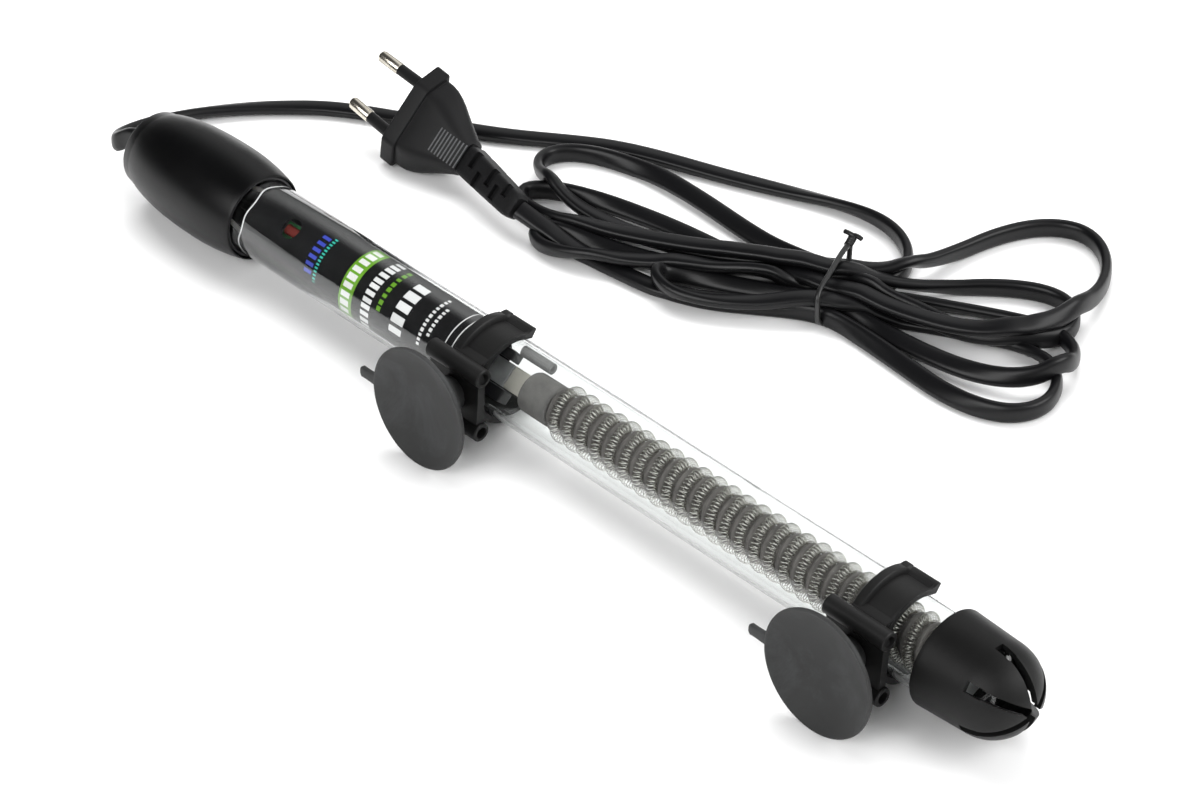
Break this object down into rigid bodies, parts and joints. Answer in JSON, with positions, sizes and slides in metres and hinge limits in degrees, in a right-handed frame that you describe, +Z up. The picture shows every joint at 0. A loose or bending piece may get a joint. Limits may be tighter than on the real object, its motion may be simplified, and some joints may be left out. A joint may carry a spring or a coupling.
{
  "type": "submersible aquarium heater",
  "caption": "Sealed glass tube heater with a bimetal thermostat, slotted end guard, clip-on suction cup brackets, and a mains cord with a flat plug.",
  "frame": {"origin": "on the surface the heater lies on, under the middle of the heater's box without its cord and plug", "axes": "+X runs along the glass tube from the cord end to the guarded end, -Y is the way the suction cups face, +Z is up"},
  "size_m": [0.3838, 0.2217, 0.0371],
  "materials": {
    "cap_plastic": "near-black moulded plastic, fine satin grain",
    "black_plastic": "black moulded plastic, satin",
    "grey_rubber": "dark grey rubber with a light bloom",
    "seal_rubber": "black rubber",
    "clear_glass": "clear heat-resistant glass",
    "printed_film": "black printed plastic film",
    "grey_mica": "grey mica board",
    "cream_board": "cream insulating board",
    "grey_ceramic": "unglazed grey ceramic, opaque",
    "resistance_wire": "coiled resistance wire",
    "brass": "plain brass",
    "bimetal": "rolled bimetal strip",
    "contact_silver": "polished silver contact",
    "ferrite": "sintered magnet",
    "green_board": "green circuit board",
    "lamp_red": "red tinted lamp",
    "glass_sleeve": "woven glass-fibre sleeve",
    "lead_wire": "bare tinned wire",
    "nickel_plate": "nickel-plated pin",
    "cord_jacket": "black PVC cord jacket, semi-gloss",
    "twist_tie": "black plastic-covered twist tie"
  },
  "bodies": {
    "heater": {"head_cap": "cap_plastic", "cap_seal_ring": "seal_rubber", "glass_tube": "clear_glass", "tube_stopper": "seal_rubber", "cord_gland": "black_plastic", "inner_cord": "cord_jacket", "label_liner": "printed_film", "indicator_lamp": "lamp_red", "lamp_board": "green_board", "thermostat_base": "grey_mica", "bimetal_post": "brass", "fixed_contact": "brass", "snap_magnet": "ferrite", "calibration_screw": "brass", "capacitor": "black_plastic", "insulator_plate": "cream_board", "terminal_block": "black_plastic", "lead_sleeve": "glass_sleeve", "live_lead": "lead_wire", "neutral_lead": "lead_wire", "ceramic_head": "grey_ceramic", "ceramic_core": "grey_ceramic", "return_lead": "lead_wire", "heating_coil": "resistance_wire", "core_support_disc": "grey_mica", "end_guard": "cap_plastic", "plug_body": "black_plastic", "plug_strain_relief": "black_plastic", "plug_pin_1": "nickel_plate", "plug_pin_2": "nickel_plate", "pin_sleeve_1": "black_plastic", "pin_sleeve_2": "black_plastic", "cord_lead": "cord_jacket", "cord_hank": "cord_jacket", "cord_tie": "twist_tie"},
    "bracket_1": {"bracket_1": "black_plastic"},
    "bracket_2": {"bracket_2": "black_plastic"},
    "suction_cup_1": {"suction_cup_1": "grey_rubber"},
    "suction_cup_2": {"suction_cup_2": "grey_rubber"},
    "bimetal": {"bimetal_arm": "bimetal", "moving_contact": "contact_silver"}
  },
  "joints": [
    {"name": "bracket_1_slide", "type": "slide", "parent": "heater", "child": "bracket_1", "axis": [1, 0, 0], "range_m": [-0.09, 0.05]},
    {"name": "bracket_2_slide", "type": "slide", "parent": "heater", "child": "bracket_2", "axis": [1, 0, 0], "range_m": [-0.045, 0.005]},
    {"name": "suction_cup_1_turn", "type": "hinge", "parent": "bracket_1", "child": "suction_cup_1", "pos_m": [-0.0193, 0.00806, 0.0162], "axis": [0, -0.9971, 0.0757], "continuous": true},
    {"name": "suction_cup_2_turn", "type": "hinge", "parent": "bracket_2", "child": "suction_cup_2", "pos_m": [0.1338, 0.00806, 0.0162], "axis": [0, -0.9971, 0.0757], "continuous": true},
    {"name": "bimetal_tilt", "type": "hinge", "parent": "heater", "child": "bimetal", "pos_m": [-0.069, 0.00681, 0.01763], "axis": [0, 0.7547, 0.6561], "range_deg": [-2, 0.3]}
  ]
}
